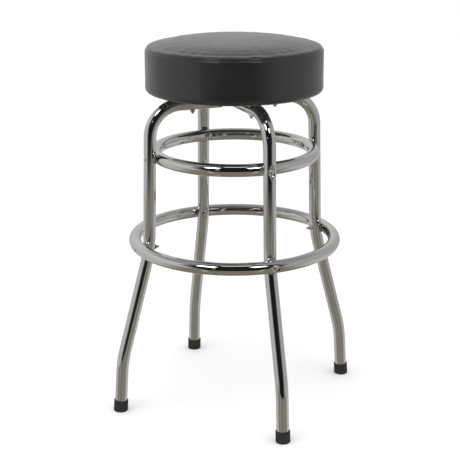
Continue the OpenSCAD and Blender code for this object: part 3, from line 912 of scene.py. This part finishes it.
def seat_cushion():
    """Foam pad in its vinyl: top panel and side band sewn along the shoulder."""
    outline = cushion_outline()
    vertices, faces = lathe(outline + pocket_outline(), SEAT_COLUMNS)
    skin_count = 1 + (len(outline) - 1) * SEAT_COLUMNS
    skin = vertices[:skin_count].copy()
    skin += spread_swelling(skin, *swelling(outline))
    base = vertices[:skin_count]
    radius, angle = polar(base)
    outward = base.copy()
    outward[:, 2] = 0
    outward /= np.maximum(radius, 1e-9)[:, None]
    normal = outward * (radius > rim_r)[:, None]
    lean = np.clip((base[:, 2] - shoulder_z) / shoulder, 0, 1)
    normal *= np.sqrt(1 - lean**2)[:, None]
    normal[:, 2] = np.where(radius > rim_r, lean, 1)
    on_side = radius > rim_r - 20 * MM
    along_skin = np.where(
        radius >= rim_r,
        np.arctan2(base[:, 2] - shoulder_z, np.maximum(radius - rim_r, 1e-9)) * shoulder,
        shoulder * math.pi / 2 + rim_r - radius,
    )
    along_skin = np.where(base[:, 2] < shoulder_z, base[:, 2] - shoulder_z, along_skin)
    seam_at = math.radians(seam_angle) * shoulder
    from_seam = along_skin - seam_at
    gather = puckers(angle, SEAM_GATHERS, 21)
    depth = np.where(on_side, crease(from_seam, **TOP_SEAM), 0)
    spread = np.exp(-np.abs(from_seam) / SEAM_GATHER_REACH) * SEAM_GATHER_DEPTH * gather
    depth += np.where(on_side, spread, 0)
    skin -= normal * depth[:, None]
    band = (base[:, 2] < seam_z) & (radius > rim_r)
    across = angle_from(angle, math.radians(BAND_SEAM_TURN)) * seat_r
    band_depth = crease(across, **BAND_SEAM) + wrinkles(angle, base[:, 2], 22)
    skin -= outward * np.where(band, band_depth, 0)[:, None]
    from_hem = np.abs(base[:, 2] - seat_low_z)
    low_gather = puckers(angle, LOW_GATHERS, 23) * np.exp(-from_hem / LOW_GATHER_REACH) * LOW_GATHER_DEPTH
    skin -= outward * np.where(band, low_gather, 0)[:, None]

    wide = np.hypot(skin[:, 0], skin[:, 1]).max()
    share = 1 - fade(skin[:, 2], seat_low_z + 2 * MM, 22 * MM)
    skin[:, :2] *= (1 + (seat_r / wide - 1) * share)[:, None]
    tall = skin[:, 2].max()
    share = 1 - fade(skin[:, 2], seat_low_z + 10 * MM, 60 * MM)
    skin[:, 2] += (seat_top_z - tall) * share
    vertices[:skin_count] = skin
    piece = add_piece("seat_cushion", vertices, flipped(faces), VINYL, "seat", sharp_deg=70)
    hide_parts("foam_pad", "vinyl_top_panel")


def vinyl_hem():
    """Band turned under the board: flat at the staples, with pleats between them and a cut inner edge."""
    columns, rows = 560, 16
    outer = board_r + 3.2 * MM
    top = board_low_z - 0.02 * MM
    angles = round_angles(columns)
    staple_gap = 2 * math.pi / VINYL_STAPLES
    phase = np.mod(angles, staple_gap) / staple_gap
    from_staple = np.minimum(phase, 1 - phase)
    random.seed(31)
    waves = [(random.randint(9, 60), random.uniform(0, 6.28)) for _ in range(7)]
    cut_edge = flange_r + 0.6 * MM * (sum(np.cos(n * angles + p) for n, p in waves) / len(waves) + 1)
    fold = np.clip(1 - from_staple * 5, 0, 1) ** 1.5 * (0.6 + 0.4 * np.cos(17 * angles + 1.0))
    layers = [[], []]
    for i in range(rows):
        share = i / (rows - 1)
        r = cut_edge + (outer - cut_edge) * share
        pleat = fold * math.sin(math.pi * (0.15 + 0.7 * share)) * 0.75 * MM
        under = np.full(columns, seat_low_z) - pleat
        lift = max(0.0, share - 0.86) / 0.14
        under += lift * lift * 1.0 * MM
        layers[0].append(round_row(r, angles, under))
        layers[1].append(round_row(r, angles, top))
    loops = layers[0] + layers[1][::-1]
    vertices = np.concatenate(loops)
    faces = grid_faces(len(loops), columns, closed_rows=True)
    piece = add_piece("vinyl_hem", vertices, faces, VINYL, "seat", sharp_deg=50)
    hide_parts("vinyl_side_band")


# --- Underside ---------------------------------------------------------------

WIRE = 0.9 * MM
STAPLE_CROWN = 10 * MM
STAPLE_LEG = 7.5 * MM


def staple():
    """Wire staple driven along +Z with its crown under 0 along X and flattened round corners."""
    half, bend = STAPLE_CROWN / 2 - WIRE / 2, 0.8 * MM
    path = [(-half, STAPLE_LEG), (-half, STAPLE_LEG / 2)]
    path += [(-half + bend + x, z) for x, z in arc((0, -WIRE / 2 + bend), bend, 180, 270, 4)]
    path += [(0, -WIRE / 2)]
    path += [(half - bend + x, z) for x, z in arc((0, -WIRE / 2 + bend), bend, 270, 360, 4)]
    path += [(half, STAPLE_LEG / 2), (half, STAPLE_LEG)]
    line = np.array([(x, 0, z) for x, z in path])
    tangent = np.gradient(line, axis=0)
    tangent /= np.linalg.norm(tangent, axis=1, keepdims=True)
    across = np.cross(tangent, (0, 1, 0))
    columns = 10
    angles = round_angles(columns)
    thick, wide = WIRE * 0.42, WIRE * 0.5
    grid = (
        line[:, None, :]
        + thick * np.cos(angles)[None, :, None] * across[:, None, :]
        + wide * np.sin(angles)[None, :, None] * np.array([0, 1, 0])
    )
    faces = grid_faces(len(line), columns)
    faces.append(tuple(reversed(range(columns))))
    faces.append(tuple(range((len(line) - 1) * columns, len(line) * columns)))
    return grid.reshape(-1, 3), flipped(faces)


def staple_set(name, node, count, radius, z, seed):
    """Ring of hand-driven staples, each a little askew."""
    random.seed(seed)
    parts = []
    for i in range(count):
        vertices, faces = staple()
        vertices = turned(vertices, 90 + random.uniform(-7, 7))
        vertices[:, 0] += radius - random.uniform(0, 1.4) * MM
        vertices[:, 2] += z
        place = i + 0.5 + random.uniform(-0.08, 0.08)
        parts.append((turned(vertices, place * 360 / count), faces))
    vertices, faces = join_copies(parts)
    piece = add_piece(name, vertices, faces, STAPLE_STEEL, "seat", sharp_deg=60)
    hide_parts(node)


def dust_cover_sheet():
    """Round of non-woven cloth stretched under the board, drooping a little between its staples."""
    columns, rows = 224, 40
    radius = flange_r - 0.5 * MM
    thick = board_low_z - dust_low_z
    angles = round_angles(columns)
    random.seed(41)
    waves = [(random.randint(3, 11), random.uniform(0, 6.28)) for _ in range(5)]
    profile = [(0.0, dust_low_z)] + [(radius * i / rows, dust_low_z) for i in range(1, rows + 1)]
    profile += [(radius, board_low_z - thick * 0.3), (radius - 1 * MM, board_low_z), (0.0, board_low_z)]
    vertices, faces = lathe(profile, columns)
    r, angle = polar(vertices)
    ripple = sum(np.cos(n * angle + p) for n, p in waves) / len(waves)
    from_staple = np.abs(np.sin(angle * DUST_STAPLES / 2))
    open_part = np.clip((r - 106 * MM) / (20 * MM), 0, 1) * np.clip((radius - r) / (4 * MM), 0, 1)
    droop = (0.35 + 0.35 * ripple + 0.25 * (1 - from_staple)) * 1.1 * MM * open_part
    vertices[:, 2] -= np.where(vertices[:, 2] < board_low_z - thick / 2, np.maximum(droop, 0), 0)
    piece = add_piece("dust_cover_cloth", vertices, faces, DUST_CLOTH, "seat", sharp_deg=60)
    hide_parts("dust_cover")


seat_cushion()
vinyl_hem()
staple_set("vinyl_staple_set", "vinyl_staples", VINYL_STAPLES, vinyl_staple_r, seat_low_z, 51)
dust_crown_r = dust_staple_r - WIRE / 2
staple_set("dust_cover_staple_set", "dust_cover_staples", DUST_STAPLES, dust_crown_r, dust_low_z, 52)
dust_cover_sheet()

# --- Bearing balls -----------------------------------------------------------

BALL_COUNT = 20
ball_r = (high("bearing_balls").z - low("bearing_balls").z) / 2
ball_z = (high("bearing_balls").z + low("bearing_balls").z) / 2
ball_track_r = high("bearing_balls").x - ball_r


def bearing_ball_set():
    """Ring of polished balls, the first of them on the X axis."""
    vertices, faces = lathe(arc((0, 0), ball_r, -90, 90, 20), 40)
    placed = vertices + np.array([ball_track_r, 0, ball_z])
    parts = [(turned(placed, i * 360 / BALL_COUNT), faces) for i in range(BALL_COUNT)]
    vertices, faces = join_copies(parts)
    piece = add_piece("bearing_ball_set", vertices, faces, BALL_STEEL, "cage")
    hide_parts("bearing_balls")


bearing_ball_set()

# --- CAD nodes that stay -----------------------------------------------------

KEPT_NODES = {
    "swivel_lower_plate": ZINC,
    "swivel_upper_plate": ZINC,
    "upper_plate_screws": SCREW_STEEL,
    "ball_cage": BRASS,
    "seat_board": PLYWOOD,
}
for kept, material in KEPT_NODES.items():
    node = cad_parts[kept]
    node.data.materials.clear()
    node.data.materials.append(material)

# --- Camera, floor and light -------------------------------------------------

VIEW_TURN = math.radians(-21.8)
VIEW_DISTANCE = 2350 * MM
VIEW_HEIGHT = 1095.5 * MM
AIM_HEIGHT = 367.2 * MM
AIM_ASIDE = -9.36 * MM
VIEW_ROLL = math.radians(-0.145)
IMAGE_SIDE = 460
FOCAL_PIXELS = 1172.6
to_camera = Vector((math.sin(VIEW_TURN), -math.cos(VIEW_TURN), 0))
to_right = Vector((math.cos(VIEW_TURN), math.sin(VIEW_TURN), 0))


def add_camera():
    data = bpy.data.cameras.new("camera")
    data.sensor_width = 36
    data.lens = FOCAL_PIXELS / IMAGE_SIDE * data.sensor_width
    data.clip_start = 0.05
    data.clip_end = 50
    camera = add_object("camera", data)
    camera.location = to_camera * VIEW_DISTANCE + Vector((0, 0, VIEW_HEIGHT))
    aim = to_right * AIM_ASIDE + Vector((0, 0, AIM_HEIGHT))
    look = (aim - camera.location).to_track_quat("-Z", "Y").to_matrix()
    camera.rotation_euler = (look @ Matrix.Rotation(VIEW_ROLL, 3, "Z")).to_euler()
    bpy.context.scene.camera = camera


def add_floor():
    """Pale studio floor with a faint unevenness; mirrors of the chrome see the studio instead."""
    side = 40.0
    mesh = bpy.data.meshes.new("floor")
    corners = [(-side, -side, 0), (side, -side, 0), (side, side, 0), (-side, side, 0)]
    mesh.from_pydata(corners, [], [(0, 1, 2, 3)])
    s = Shader("floor_paint", Roughness=0.9)
    dull, pale = (0.90, 0.90, 0.90), (0.93, 0.93, 0.93)
    s.link(s.ramp(s.noise(3, detail=3), (0.3, dull), (0.7, pale)), "Base Color")
    s.bsdf.inputs["Specular IOR Level"].default_value = 0.0
    mesh.materials.append(s.material)
    floor = add_object("floor", mesh)
    floor.visible_glossy = False


class Studio:
    """World shader: plain white for the camera, soft white light, and a studio that mirrors see."""

    def __init__(self):
        world = bpy.data.worlds.new("studio")
        world.use_nodes = True
        bpy.context.scene.world = world
        self.tree = world.node_tree
        self.tree.nodes.clear()
        coords = self.tree.nodes.new("ShaderNodeTexCoord")
        self.direction = coords.outputs["Generated"]

    def math(self, operation, *values):
        return math_node(self.tree, operation, *values)

    def along(self, axis):
        """Share of the direction that points along a unit vector."""
        inputs = {0: self.direction, 1: tuple(axis)}
        return add_node(self.tree, "VectorMath", inputs, operation="DOT_PRODUCT").outputs["Value"]

    def step(self, value, begin, end):
        """0 at begin, 1 at end, smooth between."""
        inputs = {"Value": value, "From Min": begin, "From Max": end}
        return add_node(self.tree, "MapRange", inputs, interpolation_type="SMOOTHSTEP").outputs["Result"]

    def panel(self, turn_deg, up_deg, half_wide, half_tall, soft):
        """Mask of a rectangular light panel seen in a direction; turn is measured from the camera side."""
        turn, up = math.radians(turn_deg), math.radians(up_deg)
        level = to_camera * math.cos(turn) + to_right * math.sin(turn)
        middle = level * math.cos(up) + Vector((0, 0, math.sin(up)))
        wide = Vector((0, 0, 1)).cross(level)
        tall = middle.cross(wide)
        across = self.math("ABSOLUTE", self.along(wide))
        rise = self.math("ABSOLUTE", self.along(tall))
        in_front = self.step(self.along(middle), 0.0, 0.05)
        within_width = self.step(across, half_wide, half_wide - soft)
        within_height = self.step(rise, half_tall, half_tall - soft)
        return self.math("MULTIPLY", self.math("MULTIPLY", within_width, within_height), in_front)

    def mix(self, share, below, above):
        """Colour between two others; a plain grey is given as one number."""
        inputs = {0: share}
        for key, colour in ((6, below), (7, above)):
            if isinstance(colour, float):
                colour = (colour,) * 3
            inputs[key] = (*colour, 1) if isinstance(colour, tuple) else colour
        return add_node(self.tree, "Mix", inputs, data_type="RGBA").outputs[2]

    def mirrored_room(self):
        """White room behind and beside, a dark side behind the camera, panels above and a dull floor."""
        up = self.along((0, 0, 1))
        level = self.math("SQRT", self.math("SUBTRACT", 1.001, self.math("MULTIPLY", up, up)))
        front = self.math("DIVIDE", self.along(to_camera), level)
        left_wall = self.mix(self.step(up, -0.1, 0.9), 0.52, 0.72)
        walls = self.mix(self.step(self.along(to_right), -0.2, 0.75), left_wall, 0.40)
        narrowing = self.math("MULTIPLY", self.step(up, 0.40, -0.10), 0.2)
        dark_side = self.step(self.math("SUBTRACT", front, narrowing), 0.35, 0.72)
        walls = self.mix(self.step(up, 0.40, 0.80), walls, 0.30)
        room = self.mix(dark_side, walls, (0.010, 0.010, 0.011))
        for turn, rise, wide, tall, power in PANELS:
            room = self.mix(self.panel(turn, rise, wide, tall, 0.05), room, power)
        brown = (0.215, 0.200, 0.165)
        shallow = self.mix(self.step(front, -0.1, 0.6), (0.50, 0.50, 0.49), brown)
        for turn, wide in FLOOR_STREAKS:
            shallow = self.mix(self.panel(turn, -25, wide, 0.40, 0.03), shallow, (0.48, 0.47, 0.45))
        floor = self.mix(self.step(up, -0.60, -0.85), shallow, brown)
        return self.mix(self.step(up, -0.205, -0.26), room, floor)

    def finish(self):
        path = self.tree.nodes.new("ShaderNodeLightPath")
        mirrored = self.mirrored_room()
        light = self.mix(path.outputs["Is Glossy Ray"], 1.12, mirrored)
        seen = self.mix(path.outputs["Is Camera Ray"], light, 1.0)
        background = self.tree.nodes.new("ShaderNodeBackground")
        self.tree.links.new(seen, background.inputs["Color"])
        output = self.tree.nodes.new("ShaderNodeOutputWorld")
        self.tree.links.new(background.outputs["Background"], output.inputs["Surface"])


# Light panels that the chrome mirrors: turn from the camera side, height, half width, half height, power
PANELS = (
    (-36, 46, 0.16, 0.14, 5.5),
    (31, 45, 0.14, 0.13, 5.0),
    (4, 74, 0.20, 0.10, 1.2),
    (-22, 20, 0.05, 0.05, 2.6),
)


# Paler streaks on the dull floor under the panels: turn from the camera side and half width
FLOOR_STREAKS = ((-34, 0.055), (30, 0.05))


def add_area_light(name, turn_deg, up_deg, distance, size, power):
    """Soft box over the object, unseen by mirrors, which have the room's own panels."""
    turn, up = math.radians(turn_deg), math.radians(up_deg)
    level = to_camera * math.cos(turn) + to_right * math.sin(turn)
    data = bpy.data.lights.new(name, "AREA")
    data.shape = "SQUARE"
    data.size = size
    data.energy = power
    light = add_object(name, data)
    target = Vector((0, 0, seat_top_z / 2))
    light.location = target + (level * math.cos(up) + Vector((0, 0, math.sin(up)))) * distance
    light.rotation_euler = (target - light.location).to_track_quat("-Z", "Y").to_euler()
    light.visible_glossy = False


add_camera()
add_floor()
Studio().finish()
add_area_light("key_light", -50, 55, 2.6, 1.6, 14)
add_area_light("fill_light", 60, 45, 2.8, 1.8, 8)
bpy.context.scene.view_settings.view_transform = "Standard"
bpy.context.scene.view_settings.look = "None"
